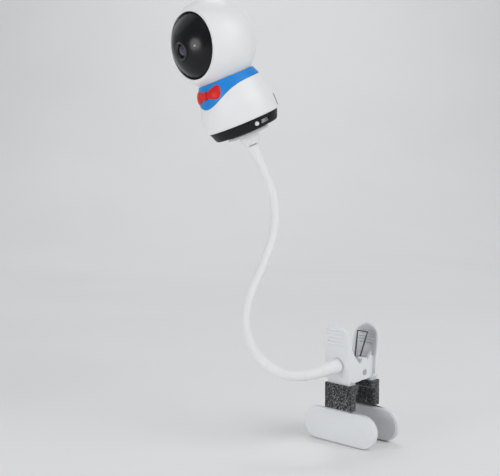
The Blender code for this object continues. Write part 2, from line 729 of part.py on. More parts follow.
for label, flip, parent in (("front", False, clip), ("rear", True, rear_parts)):
    wrap = felt_outline(FELT_THICK)
    hole = felt_outline(GAP)
    hole = [(y, z - 2 if z < 20 else (z + 2 if z > 38 else z)) for y, z in hole]
    if flip:
        wrap = mirrored(wrap)
        hole = mirrored(hole)
    sleeve = prism(label + "_felt_sleeve", wrap, -14.5, 14.5, FELT, parent, "X")
    cut(sleeve, prism(label + "_felt_hole", hole, -12.3, 12.3, None, parent, "X"))
    pad_low = PAD_FACE * -1 if not flip else 2 * PIVOT_Y + 1.9
    pad_high = -1.9 if not flip else 2 * PIVOT_Y + PAD_FACE
    shape = stadium(PAD_HALF_LENGTH, PAD_HALF_HEIGHT)
    pad = prism(label + "_jaw_pad", shape, pad_low, pad_high, PALE, parent, "Y")
    slot_low = -5.6 if not flip else 2 * PIVOT_Y + 2.8
    slot_high = -2.8 if not flip else 2 * PIVOT_Y + 5.6
    cut(pad, box(label + "_pad_slot", (-10.3, slot_low, -8.3), (10.3, slot_high, 20), None, parent))
    liner_low = -1.6 if not flip else 2 * PIVOT_Y
    liner_high = 0.0 if not flip else 2 * PIVOT_Y + 1.6
    thin = stadium(PAD_HALF_LENGTH - 1.0, PAD_HALF_HEIGHT - 1.0)
    prism(label + "_jaw_liner", thin, liner_low, liner_high, LINER, parent, "Y")

pin_sizes = ((0, -14.4), (3.4, -14.4), (3.4, -13.8), (2.2, -13.8), (2.2, 14.3), (0, 14.3))
lathe("pivot_pin", pin_sizes, STEEL, clip, 20, "+X", (0, PIVOT_Y, PIVOT_Z))

# Double torsion spring: a coil on each side of the pin, a loop up the rear handle, two legs on the front
WIRE_R = 0.7
COIL_R = 3.6
coil_turns = 2.25
loop_angle = 72.0
leg_angle = 112.0


def coil(side):
    """From the front leg's tip, round the pin and out to the loop."""
    inner_x = 1.2
    outer_x = 6.2
    start = math.radians(leg_angle + 90)
    stop = math.radians(loop_angle - 90) + 2 * math.pi * 3
    steps = 32
    points = []
    for k in range(steps + 1):
        share = k / steps
        angle = start + (stop - start) * share
        x = side * (outer_x + (inner_x - outer_x) * share)
        points.append((x, PIVOT_Y + COIL_R * math.cos(angle), PIVOT_Z + COIL_R * math.sin(angle)))
    leg = math.radians(leg_angle)
    tip = 16.0
    first = points[0]
    tail = (first[0], first[1] + tip * math.cos(leg), first[2] + tip * math.sin(leg))
    return [tail] + points


loop = math.radians(loop_angle)
reach = 36.0
halves = [coil(-1), coil(1)]
ends = [half[-1] for half in halves]
tops = [(x * 4.6, y + reach * math.cos(loop), z + reach * math.sin(loop)) for x, y, z in ends]
spring_path = halves[0] + tops + list(reversed(halves[1]))
sweep("torsion_spring", spring_path, WIRE_R, SPRING, clip, 5)

# Ferrule that holds the neck's lower end, screwed on from behind the handle
ferrule_aim = ferrule_dir.to_track_quat("Z", "Y").to_matrix()
ferrule_seat = Vector((0.0, -8.75, 55.25))
bottom_profile = (
    (0, 0.0),
    (6.4, 0.0),
    (6.3, 5.0),
    (5.8, 11.0),
    (5.2, 17.0),
    (4.8, 21.5),
    (4.5, 22.1),
    (NECK_CORE_R + 1.0, 22.1),
    (0, 20.5),
)
lower_ferrule = lathe("bottom_ferrule", bottom_profile, WHITE, clip, 24, ferrule_aim, ferrule_seat)
cut(lower_ferrule, rod("ferrule_hole", 1.6, -2, 9, None, clip, 16, ferrule_aim, ferrule_seat))
cut(front_lever, rod("screw_hole", 1.7, -12, 2, None, clip, 16, ferrule_aim, ferrule_seat))
screw_profile = ((0, -8.0), (2.8, -8.0), (2.8, -6.4), (1.3, -6.4), (1.3, 8.5), (0, 8.5))
lathe("ferrule_screw", screw_profile, STEEL, clip, 16, ferrule_aim, ferrule_seat)
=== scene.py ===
"""Looks of a clip-on baby monitor camera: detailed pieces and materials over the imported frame."""

import json
import math

import bmesh
import bpy
from mathutils import Matrix, Vector, noise


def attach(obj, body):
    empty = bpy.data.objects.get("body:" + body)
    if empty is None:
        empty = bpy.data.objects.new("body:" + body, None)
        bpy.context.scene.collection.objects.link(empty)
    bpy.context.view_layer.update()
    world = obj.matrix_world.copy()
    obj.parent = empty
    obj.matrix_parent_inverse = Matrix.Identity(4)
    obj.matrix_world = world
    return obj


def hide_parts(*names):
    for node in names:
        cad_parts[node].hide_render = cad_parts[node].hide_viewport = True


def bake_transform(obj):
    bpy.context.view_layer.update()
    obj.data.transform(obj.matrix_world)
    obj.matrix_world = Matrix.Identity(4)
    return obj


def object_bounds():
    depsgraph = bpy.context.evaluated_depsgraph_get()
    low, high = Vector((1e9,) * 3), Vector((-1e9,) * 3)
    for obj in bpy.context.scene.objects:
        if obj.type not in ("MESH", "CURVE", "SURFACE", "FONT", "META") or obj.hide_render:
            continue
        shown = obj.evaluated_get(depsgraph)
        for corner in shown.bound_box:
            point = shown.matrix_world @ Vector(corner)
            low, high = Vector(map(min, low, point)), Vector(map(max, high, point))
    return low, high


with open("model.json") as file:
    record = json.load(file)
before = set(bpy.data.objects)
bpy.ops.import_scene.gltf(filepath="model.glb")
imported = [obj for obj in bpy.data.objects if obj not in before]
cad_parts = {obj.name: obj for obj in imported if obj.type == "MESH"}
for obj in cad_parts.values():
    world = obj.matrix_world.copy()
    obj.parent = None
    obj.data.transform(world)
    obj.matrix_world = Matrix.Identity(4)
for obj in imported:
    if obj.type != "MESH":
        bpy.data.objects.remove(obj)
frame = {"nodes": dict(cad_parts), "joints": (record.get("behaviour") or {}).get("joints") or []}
CAD_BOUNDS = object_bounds()
MM = 0.001

JOINTS = {joint["name"]: joint for joint in frame["joints"]}
UP = Vector(JOINTS["head_pan"]["axis"]).normalized()
RIGHT = -Vector(JOINTS["eye_tilt"]["axis"]).normalized()
AHEAD = UP.cross(RIGHT)
BASE = Vector(JOINTS["camera_swivel"]["pos_m"])
LEAN = Matrix((RIGHT, AHEAD, UP)).transposed().to_4x4()

# The camera unit's own frame, with its origin under the base and -Y towards the bow tie
UNIT = Matrix.Translation(BASE) @ LEAN
HEAD_Z = 83.8
FACE_RISE = 12.0
EYE_RISE = 6.0
HEAD = UNIT @ Matrix.Translation(Vector((0, 0, HEAD_Z)) * MM)
FACE = HEAD @ Matrix.Rotation(math.radians(-FACE_RISE), 4, "X")
EYE = HEAD @ Matrix.Rotation(math.radians(-EYE_RISE), 4, "X")
AHEAD_AIM = Matrix.Rotation(math.radians(90), 4, "X")

# Sizes in millimetres, as in part.py
HEAD_R = 40.0
HEAD_WALL = 2.0
LIP_DISTANCE = 23.8
DOME_R = 36.5
DOME_WALL = 1.5
LENS_RING_R = 7.9
COLLAR_TOP = 52.0
BAND_LOW = 44.4
BIB_DROP = 13.1
BIB_SPREAD = 42.0  # degrees
TORSO_LOW = 9.4
SOCKET_Z = 4.4
FLARE = (
    (TORSO_LOW, 35.1),
    (10.6, 35.4),
    (24.2, 35.0),
    (34.2, 32.3),
    (BAND_LOW, 29.7),
    (COLLAR_TOP, 26.4),
)
PIVOT = Vector((0.0, 13.0, 48.0))
NECK_R = 4.4
NECK_TOP = 31.8  # how far below the base the sleeve ends
LINKS = 8


# ---------------------------------------------------------------- materials


class Shader:
    """A small builder for procedural materials in object space."""

    def __init__(self, name, colour, roughness, metallic=0.0):
        self.material = bpy.data.materials.new(name)
        self.material.use_nodes = True
        self.tree = self.material.node_tree
        self.main = self.tree.nodes["Principled BSDF"]
        self.main.inputs["Base Color"].default_value = (*colour, 1.0)
        self.main.inputs["Roughness"].default_value = roughness
        self.main.inputs["Metallic"].default_value = metallic
        self.space = self.tree.nodes.new("ShaderNodeTexCoord").outputs["Object"]
        self.height = None

    def set(self, **values):
        for name, value in values.items():
            self.main.inputs[name.replace("_", " ")].default_value = value
        return self

    def node(self, kind, **inputs):
        made = self.tree.nodes.new(kind)
        for name, value in inputs.items():
            socket = made.inputs[name.replace("_", " ")]
            if isinstance(value, bpy.types.NodeSocket):
                self.tree.links.new(value, socket)
            else:
                socket.default_value = value
        return made

    def noise(self, scale, detail=3.0, stretch=None, rough=0.55, distort=0.0):
        space = self.space
        if stretch is not None:
            space = self.node("ShaderNodeMapping", Vector=space, Scale=stretch).outputs[0]
        made = self.node("ShaderNodeTexNoise", Vector=space, Scale=scale, Detail=detail)
        made.inputs["Roughness"].default_value = rough
        made.inputs["Distortion"].default_value = distort
        return made.outputs["Fac"]

    def ramp(self, value, stops):
        made = self.node("ShaderNodeValToRGB", Fac=value)
        points = made.color_ramp.elements
        while len(points) < len(stops):
            points.new(0.5)
        for point, (place, colour) in zip(points, stops):
            point.position = place
            point.color = (*colour, 1.0)
        return made.outputs["Color"]

    def span(self, value, low, high, start=0.0, stop=1.0):
        made = self.node("ShaderNodeMapRange", Value=value)
        made.inputs["From Min"].default_value = start
        made.inputs["From Max"].default_value = stop
        made.inputs["To Min"].default_value = low
        made.inputs["To Max"].default_value = high
        return made.outputs["Result"]

    def link(self, value, name):
        self.tree.links.new(value, self.main.inputs[name])
        return self

    def tint(self, value, stops):
        return self.link(self.ramp(value, stops), "Base Color")

    def vary(self, value, low, high, start=0.3, stop=0.7):
        return self.link(self.span(value, low, high, start, stop), "Roughness")

    def bump(self, value, distance, strength=1.0):
        made = self.node("ShaderNodeBump", Height=value, Distance=distance, Strength=strength)
        if self.height is not None:
            self.tree.links.new(self.height, made.inputs["Normal"])
        self.height = made.outputs["Normal"]
        return self.link(self.height, "Normal")


def shade(colour, factor):
    return tuple(min(1.0, c * factor) for c in colour)


def moulded(name, colour, roughness, grain=2600.0, depth=0.00001, coat=0.0, variation=0.03, gloss=0.5):
    """Moulded plastic: a fine spark-eroded grain, slow colour drift and uneven gloss."""
    made = Shader(name, colour, roughness)
    made.set(Coat_Weight=coat, Coat_Roughness=0.12, IOR=1.48, Specular_IOR_Level=gloss)
    drift = made.noise(42.0, 2.0)
    made.tint(drift, ((0.3, shade(colour, 1.0 - variation)), (0.7, shade(colour, 1.0 + variation * 0.6))))
    made.vary(made.noise(170.0, 4.0), roughness * 0.86, roughness * 1.16)
    made.bump(made.noise(grain, 3.0), depth, 0.25)
    made.bump(made.noise(95.0, 1.0), 0.00006, 0.25)
    return made.material


def metal(name, colour, roughness, stretch=(1.0, 1.0, 26.0)):
    made = Shader(name, colour, roughness, 1.0)
    lines = made.noise(900.0, 5.0, stretch)
    made.tint(lines, ((0.2, shade(colour, 0.82)), (0.8, shade(colour, 1.08))))
    made.vary(lines, roughness * 0.75, roughness * 1.35)
    made.bump(lines, 0.00002, 0.35)
    return made.material


def felt(name):
    """Melange felt: dark, mid and pale fibres pressed together, with a fuzzy sheen."""
    made = Shader(name, (0.12, 0.12, 0.125), 0.95)
    made.set(Sheen_Weight=0.35, Sheen_Roughness=0.5, Specular_IOR_Level=0.15)
    long_way = made.noise(1500.0, 6.0, (1.0, 1.0, 2.2), 0.72, 1.4)
    cross_way = made.noise(1550.0, 6.0, (2.2, 1.0, 1.0), 0.72, 1.4)
    fibres = made.node("ShaderNodeMath", Value=long_way)
    fibres.operation = "MAXIMUM"
    made.tree.links.new(cross_way, fibres.inputs[1])
    blotch = made.noise(700.0, 4.0, None, 0.6)
    mixed = made.node("ShaderNodeMath", Value=fibres.outputs[0])
    mixed.operation = "MULTIPLY_ADD"
    mixed.inputs[1].default_value = 0.42
    made.tree.links.new(made.span(blotch, -0.08, 0.3), mixed.inputs[2])
    made.tint(
        mixed.outputs[0],
        (
            (0.3, (0.012, 0.012, 0.014)),
            (0.35, (0.055, 0.055, 0.06)),
            (0.39, (0.19, 0.19, 0.2)),
            (0.43, (0.62, 0.62, 0.65)),
        ),
    )
    made.bump(made.noise(700.0, 6.0, None, 0.7), 0.0005, 0.8)
    made.bump(fibres.outputs[0], 0.00025, 0.7)
    return made.material


def circuit(name):
    """Green board with a mesh of copper tracks under the mask."""
    made = Shader(name, (0.02, 0.16, 0.07), 0.4)
    cells = made.node("ShaderNodeTexVoronoi", Vector=made.space, Scale=420.0)
    cells.feature = "DISTANCE_TO_EDGE"
    tracks = cells.outputs["Distance"]
    made.tint(tracks, ((0.0, (0.1, 0.36, 0.16)), (0.06, (0.1, 0.34, 0.15)), (0.09, (0.015, 0.13, 0.055))))
    made.bump(tracks, 0.00003, 0.5)
    made.vary(made.noise(300.0), 0.3, 0.5)
    return made.material


def dome_gloss(name):
    """Smoked gloss plastic: near black, polished, with a trace of dust in its roughness."""
    made = Shader(name, (0.0035, 0.0035, 0.0045), 0.21)
    made.set(Specular_IOR_Level=0.32, IOR=1.49)
    made.vary(made.noise(260.0, 6.0, None, 0.7), 0.19, 0.23)
    made.tint(made.noise(30.0, 2.0), ((0.3, (0.003, 0.003, 0.004)), (0.7, (0.005, 0.005, 0.0065))))
    made.bump(made.noise(60.0, 1.0), 0.00001, 0.1)
    return made.material


def coated_glass_painted_reflection(name, low, high):
    made = Shader(name, low, 0.03)
    made.set(Coat_Weight=1.0, Coat_Roughness=0.01, IOR=1.6)
    # Base colour is painted by viewing angle: dark where the glass faces the camera, a brighter coating tint
    # towards the rim and darker again at the very edge. This is a painted reflection of the coating.
    facing = made.node("ShaderNodeLayerWeight", Blend=0.35).outputs["Facing"]
    made.tint(facing, ((0.1, low), (0.55, high), (0.9, shade(low, 0.5))))
    return made.material


WHITE = moulded("white_plastic_fine", (0.85, 0.855, 0.86), 0.42, coat=0.04, variation=0.012)
CLIP_WHITE = moulded("clip_plastic_fine", (0.8, 0.815, 0.835), 0.36, grain=1900.0, coat=0.05, variation=0.02)
PALE = moulded("pale_plastic_fine", (0.74, 0.755, 0.775), 0.38, variation=0.02)
SLEEVE = moulded("neck_silicone", (0.83, 0.835, 0.84), 0.46, grain=3200.0, depth=0.00002, variation=0.015)
BLACK = moulded("black_plastic_fine", (0.009, 0.009, 0.01), 0.42, 2200.0, 0.00003, 0.0, 0.2, 0.25)
DARK_GLOSS = moulded("lens_ring_black", (0.014, 0.014, 0.016), 0.2, coat=0.5, variation=0.1)
BLUE = moulded("band_blue_fine", (0.011, 0.25, 0.72), 0.4, coat=0.05, variation=0.04, gloss=0.35)
RED = moulded("bow_red_fine", (0.72, 0.016, 0.01), 0.4, coat=0.05, variation=0.08, gloss=0.3)
LINER = moulded("jaw_liner_fine", (0.7, 0.71, 0.73), 0.8, grain=1400.0, depth=0.00006, variation=0.04)
RUBBER = moulded("rubber_fine", (0.02, 0.02, 0.02), 0.85, grain=1500.0, depth=0.00005, variation=0.2)
NYLON = moulded("nylon_fine", (0.83, 0.82, 0.76), 0.5, variation=0.03)
STEEL = metal("steel_fine", (0.58, 0.58, 0.6), 0.3)
WIRE = metal("wire_fine", (0.13, 0.13, 0.14), 0.34)
BRASS = metal("brass_fine", (0.78, 0.57, 0.26), 0.3)
FELT = felt("felt_melange")
BOARD = circuit("board_fine")
DOME = dome_gloss("dome_fine")
# The lens and the sensor window both carry this painted coating reflection in their base colour.
LENS = coated_glass_painted_reflection("coated_glass_painted_reflection", (0.006, 0.008, 0.02), (0.05, 0.03, 0.12))
SENSOR = coated_glass_painted_reflection("sensor_window", (0.004, 0.004, 0.006), (0.03, 0.03, 0.05))


# ---------------------------------------------------------------- mesh helpers

ROUND_ANGLE = 40.0  # degrees; a sharper fold than this stays an edge on turned pieces and tubes


def add(name, points, faces, material, body, replaced=(), angle=32.0):
    """A piece from world points in metres; it rides on a CAD body."""
    mesh = bpy.data.meshes.new(name)
    mesh.from_pydata([tuple(p) for p in points], [], [tuple(f) for f in faces])
    shape = bmesh.new()
    shape.from_mesh(mesh)
    bmesh.ops.remove_doubles(shape, verts=shape.verts, dist=1e-7)
    bmesh.ops.recalc_face_normals(shape, faces=shape.faces)
    shape.to_mesh(mesh)
    shape.free()
    return dress(bpy.data.objects.new(name, mesh), material, body, replaced, angle)


def dress(obj, material, body, replaced=(), angle=32.0):
    if obj.name not in bpy.context.scene.collection.objects:
        bpy.context.scene.collection.objects.link(obj)
    obj.data.materials.clear()
    obj.data.materials.append(material)
    smooth(obj, angle)
    if body is not None:
        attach(obj, body)
    if replaced:
        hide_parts(*replaced)
    return obj


def smooth(obj, angle):
    obj.data.polygons.foreach_set("use_smooth", [True] * len(obj.data.polygons))
    obj.data.set_sharp_from_angle(angle=math.radians(angle))


def rounded(profile, radius, steps=4, closed=False):
    """Rounds the corners of an (r, z) profile; a third value on a point sets its own radius."""
    corners = [Vector(p[:2]) for p in profile]
    radii = [p[2] if len(p) > 2 else radius for p in profile]
    count = len(corners)
    made = []
    for k, corner in enumerate(corners):
        if not closed and k in (0, count - 1):
            made.append(corner)
            continue
        before = corners[k - 1] - corner
        after = corners[(k + 1) % count] - corner
        turn = before.angle(after, math.pi)
        reach = min(before.length, after.length) * 0.45
        size = min(reach, radii[k] / max(math.tan(turn / 2), 1e-3))
        if size < 0.01 or turn > math.radians(174):
            made.append(corner)
            continue
        first = corner + before.normalized() * size
        last = corner + after.normalized() * size
        for step in range(steps + 1):
            t = step / steps
            made.append(first * (1 - t) ** 2 + corner * (2 * t * (1 - t)) + last * t * t)
    return [(max(p.x, 0.0), p.y) for p in made]


def arc(radius, start, end, steps, centre=(0.0, 0.0)):
    turns = [math.radians(start + (end - start) * k / steps) for k in range(steps + 1)]
    return [(centre[0] + radius * math.cos(a), centre[1] + radius * math.sin(a)) for a in turns]


def revolve(profile, matrix, sides=96, closed=False):
    """Points and faces of a turned shape; the profile's second value runs along the matrix's Z."""
    points = []
    rows = []
    for radius, height in profile:
        if radius < 1e-6:
            rows.append([len(points)] * sides)
            points.append(matrix @ (Vector((0, 0, height)) * MM))
            continue
        rows.append(list(range(len(points), len(points) + sides)))
        for k in range(sides):
            a = 2 * math.pi * k / sides
            points.append(matrix @ (Vector((radius * math.cos(a), radius * math.sin(a), height)) * MM))
    faces = []
    pairs = list(zip(rows, rows[1:])) + ([(rows[-1], rows[0])] if closed else [])
    for low, high in pairs:
        for k in range(sides):
            after = (k + 1) % sides
            corners = [low[k], low[after], high[after], high[k]]
            corners = [c for i, c in enumerate(corners) if c not in corners[:i]]
            if len(corners) > 2:
                faces.append(corners)
    return points, faces


def turned(name, profile, matrix, material, body, replaced=(), sides=96, closed=False):
    points, faces = revolve(profile, matrix, sides, closed)
    return add(name, points, faces, material, body, replaced, ROUND_ANGLE)


def tube(name, path, radius, material, body, replaced=(), sides=20, caps=True):
    """A round bar along points in millimetres; radius may be a function of the share of the way."""
    spots = [Vector(p) for p in path]
    last = len(spots) - 1
    tangents = [(spots[min(k + 1, last)] - spots[max(k - 1, 0)]).normalized() for k in range(last + 1)]
    side = tangents[0].orthogonal().normalized()
    points = []
    for k, (spot, tangent) in enumerate(zip(spots, tangents)):
        side = (side - tangent * side.dot(tangent)).normalized()
        over = tangent.cross(side)
        size = radius(k / last) if callable(radius) else radius
        for s in range(sides):
            a = 2 * math.pi * s / sides
            points.append((spot + (side * math.cos(a) + over * math.sin(a)) * size) * MM)
    faces = []
    for row in range(last):
        for s in range(sides):
            a = row * sides + s
            b = row * sides + (s + 1) % sides
            faces.append([a, b, b + sides, a + sides])
    if caps:
        faces.append(list(range(sides)))
        faces.append([last * sides + s for s in range(sides)])
    return add(name, points, faces, material, body, replaced, ROUND_ANGLE)


def modify(obj, kind, **values):
    """Adds a modifier and applies it at once."""
    step = obj.modifiers.new(kind.lower(), kind)
    for name, value in values.items():
        setattr(step, name, value)
    graph = bpy.context.evaluated_depsgraph_get()
    bpy.context.view_layer.update()
    baked = bpy.data.meshes.new_from_object(obj.evaluated_get(graph))
    obj.modifiers.clear()
    old = obj.data
    obj.data = baked
    bpy.data.meshes.remove(old)
    return obj


def softened(node, name, width, segments=3, limit=28.0):
    """A copy of a CAD node with merged flats and rounded edges."""
    source = frame["nodes"][node]
    made = bpy.data.objects.new(name, source.data.copy())
    bpy.context.scene.collection.objects.link(made)
    shape = bmesh.new()
    shape.from_mesh(made.data)
    bmesh.ops.remove_doubles(shape, verts=shape.verts, dist=2e-6)
    bmesh.ops.dissolve_limit(
        shape,
        angle_limit=math.radians(1.5),
        verts=shape.verts,
        edges=shape.edges,
        use_dissolve_boundaries=False,
    )
    shape.to_mesh(made.data)
    shape.free()
    made.data.polygons.foreach_set("use_smooth", [False] * len(made.data.polygons))
    modify(
        made,
        "BEVEL",
        width=width * MM,
        segments=segments,
        limit_method="ANGLE",
        angle_limit=math.radians(limit),
        use_clamp_overlap=True,
        harden_normals=False,
    )
    return made


def cutter(points, faces):
    mesh = bpy.data.meshes.new("cutter")
    mesh.from_pydata([tuple(p) for p in points], [], [tuple(f) for f in faces])
    shape = bmesh.new()
    shape.from_mesh(mesh)
    bmesh.ops.recalc_face_normals(shape, faces=shape.faces)
    shape.to_mesh(mesh)
    shape.free()
    made = bpy.data.objects.new("cutter", mesh)
    bpy.context.scene.collection.objects.link(made)
    return made


def carve(obj, tool, operation="DIFFERENCE"):
    modify(obj, "BOOLEAN", operation=operation, solver="EXACT", object=tool)
    bpy.data.objects.remove(tool, do_unlink=True)
    return obj


def round_cutter(radius, depth, matrix, sides):
    """A cutter for a round hole along the matrix's Z, reaching this far both ways."""
    return cutter(*revolve([(0, -depth), (radius, -depth), (radius, depth), (0, depth)], matrix, sides))


def block(low, high, matrix):
    corners = [(x, y, z) for x in (low[0], high[0]) for y in (low[1], high[1]) for z in (low[2], high[2])]
    faces = ((0, 1, 3, 2), (4, 6, 7, 5), (0, 4, 5, 1), (2, 3, 7, 6), (0, 2, 6, 4), (1, 5, 7, 3))
    return [matrix @ (Vector(c) * MM) for c in corners], faces


# ---------------------------------------------------------------- head and eye

AIM_FACE = FACE @ AHEAD_AIM
AIM_EYE = EYE @ AHEAD_AIM

lip_outer = math.degrees(math.asin(LIP_DISTANCE / HEAD_R))
lip_inner = math.degrees(math.asin(LIP_DISTANCE / (HEAD_R - HEAD_WALL)))
shell = arc(HEAD_R, -90, lip_outer, 54) + [(31.8, LIP_DISTANCE - 0.02)]
shell_edge = rounded(
    [shell[-3], (*shell[-2], 0.5), (29.75, LIP_DISTANCE, 0.35), (30.1, LIP_DISTANCE - 2.2)], 0.5, 5
)
shell_in = arc(HEAD_R - HEAD_WALL, lip_inner - 4, -90, 30)
head_outline = shell[:-3] + shell_edge + shell_in
turned("head_ball", head_outline, AIM_FACE, WHITE, "head", ("head_shell",), 144)

lens_angle = math.degrees(math.asin((LENS_RING_R + 0.25) / DOME_R))
dome = arc(DOME_R, 90 - lens_angle, -2, 46) + arc(DOME_R - DOME_WALL, -2, 90 - lens_angle, 24)
turned("dome_window", dome, AIM_EYE, DOME, "eye", ("dome_cover",), 144, True)

ring = rounded(
    (
        (5.3, 33.2),
        (7.6, 33.2),
        (LENS_RING_R, 34.0),
        (LENS_RING_R, 36.5),
        (7.3, 37.2),
        (6.3, 37.05),
        (5.3, 35.5),
    ),
    0.25,
    3,
    True,
)
turned("lens_bezel", ring, AIM_EYE, DARK_GLOSS, "eye", ("lens_ring",), 72, True)
crown_turns = [math.radians(10 * k) for k in range(1, 9)]
crown = [(5.0 * math.cos(a), 34.3 + 1.4 * math.sin(a)) for a in crown_turns]
element = [(0, 33.4), (5.05, 33.4), (5.05, 34.3)] + crown + [(0, 35.7)]
turned("lens_element", element, AIM_EYE, LENS, "eye", ("lens_glass",), 64)
AIM_SENSOR = EYE @ Matrix.Rotation(math.radians(26.0), 4, "Z") @ AHEAD_AIM
sensor = rounded(((0, 33.2), (1.15, 33.2), (1.15, 36.55), (0, 36.62)), 0.2)
turned("sensor_window", sensor, AIM_SENSOR, SENSOR, "eye", ("light_sensor",), 32)

# ---------------------------------------------------------------- torso, band, bow tie


def flare_r(height):
    """Torso radius at a height, smoothly through the flare's stations."""
    if height <= FLARE[0][0]:
        return FLARE[0][1]
    for k in range(len(FLARE) - 1):
        low, high = FLARE[k], FLARE[k + 1]
        if height <= high[0]:
            before = FLARE[max(k - 1, 0)]
            after = FLARE[min(k + 2, len(FLARE) - 1)]
            width = high[0] - low[0]
            t = (height - low[0]) / width
            m0 = width * (high[1] - before[1]) / (high[0] - before[0])
            m1 = width * (after[1] - low[1]) / (after[0] - low[0])
            a = 2 * t**3 - 3 * t**2 + 1
            return low[1] * a + m0 * (t**3 - 2 * t**2 + t) + high[1] * (1 - a) + m1 * (t**3 - t**2)
    return FLARE[-1][1] - 0.44 * (height - COLLAR_TOP)


def band_low(angle):
    """Height of the band's lower edge: level all round, with the bib hanging down in front."""
    away = abs((angle + 270) % 360 - 180)
    return BAND_LOW - BIB_DROP * math.exp(-((away / BIB_SPREAD) ** 2))


heights = [TORSO_LOW + (COLLAR_TOP - TORSO_LOW) * k / 44 for k in range(45)]
skin = [(flare_r(h), h) for h in heights]
skin[0] = (skin[0][0] - 0.35, skin[0][1])
walls = [(24.9, COLLAR_TOP), (24.7, 50.2), (27.2, BAND_LOW), (30.0, 34.2), (32.2, 24.2), (32.4, TORSO_LOW)]
points, faces = revolve(skin + walls, UNIT, 144, True)
torso = add("torso_body", points, faces, WHITE, "camera", (), 40.0)
wedge = arc(38.5, 34.5, 145.5, 40) + arc(31.0, 145.5, 34.5, 40)
count = len(wedge)
window = [UNIT @ (Vector((x, y, z)) * MM) for z in (11.5, 22.3) for x, y in wedge]
window_faces = [list(range(count)), list(range(count, 2 * count))]
window_faces += [[k, (k + 1) % count, count + (k + 1) % count, count + k] for k in range(count)]
carve(torso, cutter(window, window_faces))
dress(torso, WHITE, "camera", ("torso_shell",), 35.0)

SIDES = 180
ROWS = 22
BAND_PROUD = 0.1


def band_ring(inset, proud):
    """One level of the band's cross-section: how far in from its edges and out of the torso."""
    ring = []
    for row in range(ROWS + 1):
        for k in range(SIDES):
            angle = 360 * k / SIDES
            low = band_low(angle) + inset
            height = low + (COLLAR_TOP - inset * 0.6 - low) * row / ROWS
            radius = flare_r(height) + proud
            turn = math.radians(angle)
            spot = Vector((radius * math.cos(turn), radius * math.sin(turn), height))
            ring.append(UNIT @ (spot * MM))
    return ring


outside = band_ring(0.14, BAND_PROUD)
inside = band_ring(0.0, -0.6)
edge_low = band_ring(0.0, BAND_PROUD - 0.14)[:SIDES]
edge_top = band_ring(0.0, BAND_PROUD - 0.14)[-SIDES:]
points = outside + inside + edge_low + edge_top
inner = len(outside)
low_edge = inner + len(inside)
top_edge = low_edge + SIDES
faces = []
for k in range(SIDES):
    after = (k + 1) % SIDES
    for row in range(ROWS):
        a = row * SIDES
        faces.append([a + k, a + after, a + SIDES + after, a + SIDES + k])
        faces.append([inner + a + k, inner + a + SIDES + k, inner + a + SIDES + after, inner + a + after])
    top = ROWS * SIDES
    faces.append([k, low_edge + k, low_edge + after, after])
    faces.append([low_edge + k, inner + k, inner + after, low_edge + after])
    faces.append([top + k, top + after, top_edge + after, top_edge + k])
    faces.append([top_edge + k, top_edge + after, inner + top + after, inner + top + k])
add("band", points, faces, BLUE, "camera", ("scarf_band",), 60.0)

BOW_Z = 43.4


def bow_point(side, u, v, front):
    """A lobe of the bow: u runs out from the knot, v up; its face is pillowed and pleated."""
    spread = u**0.8
    half = 2.3 + 3.7 * math.sin(min(1.0, spread * 1.1) * math.pi / 2) ** 1.5
    half *= math.sqrt(max(1 - max(0.0, (u - 0.72) / 0.3) ** 2, 0.02))
    x = 1.6 + 14.9 * u
    z = BOW_Z + v * half
    hug = flare_r(z) + 0.12
    y = -math.sqrt(max(hug * hug - x * x, 1.0))
    pillow = (1 - abs(v) ** 2.6) ** 0.5 * (1 - u**7) ** 0.5
    pleats = 0.32 * math.cos(v * 2.6 * math.pi) * (1 - u) ** 1.4
    lift = (1.5 + 0.9 * math.sin(u * math.pi * 0.85) + pleats) * pillow if front else 0.0
    outward = Vector((x, y, 0)).normalized() if front else Vector((0, 0, 0))
    spot = Vector((x, y, z)) + outward * max(lift, 0.02)
    return UNIT @ (Vector((side * spot.x, spot.y, spot.z)) * MM)


def bow_lobe(side):
    across = 26
    tall = 22
    points = []
    for front in (True, False):
        for i in range(across + 1):
            for j in range(tall + 1):
                points.append(bow_point(side, i / across, 2 * j / tall - 1, front))
    stride = tall + 1
    back = (across + 1) * stride
    faces = []
    for i in range(across):
        for j in range(tall):
            a = i * stride + j
            faces.append([a, a + stride, a + stride + 1, a + 1])
            faces.append([back + a, back + a + 1, back + a + stride + 1, back + a + stride])
    rim = [i * stride for i in range(across + 1)]
    rim += [across * stride + j for j in range(1, tall + 1)]
    rim += [i * stride + tall for i in range(across - 1, -1, -1)]
    rim += [j for j in range(tall - 1, 0, -1)]
    for k, a in enumerate(rim):
        b = rim[(k + 1) % len(rim)]
        faces.append([a, b, back + b, back + a])
    return points, faces


def knot_shape():
    """A soft barrel over the middle of the bow, pinched top and bottom."""
    points = []
    faces = []
    around = 40
    up_rows = 20
    hug = flare_r(BOW_Z)
    for j in range(up_rows + 1):
        v = -1 + 2 * j / up_rows
        tall = 3.7 * math.copysign(abs(math.sin(v * math.pi / 2)) ** 0.8, v)
        wide = 3.4 * max(1 - abs(v) ** 3.2, 0.0) ** 0.5 + 0.02
        for k in range(around):
            a = 2 * math.pi * k / around
            x = wide * math.copysign(abs(math.cos(a)) ** 0.75, math.cos(a))
            y = -hug - 0.8 + (wide * 0.8) * math.copysign(abs(math.sin(a)) ** 0.75, math.sin(a)) * 0.95
            points.append(UNIT @ (Vector((x, min(y, -hug + 2.0), BOW_Z + tall)) * MM))
    for j in range(up_rows):
        for k in range(around):
            after = (k + 1) % around
            a = j * around
            faces.append([a + k, a + after, a + around + after, a + around + k])
    faces.append(list(range(around)))
    faces.append([up_rows * around + k for k in range(around)])
    return points, faces


bow_parts = [bow_lobe(1), bow_lobe(-1), knot_shape()]
for label, (points, faces) in zip(("bow_left", "bow_right", "bow_knot"), bow_parts):
    replaced = ("bow_tie",) if label == "bow_knot" else ()
    add(label, points, faces, RED, "camera", replaced, 70.0)

# ---------------------------------------------------------------- base and its fittings

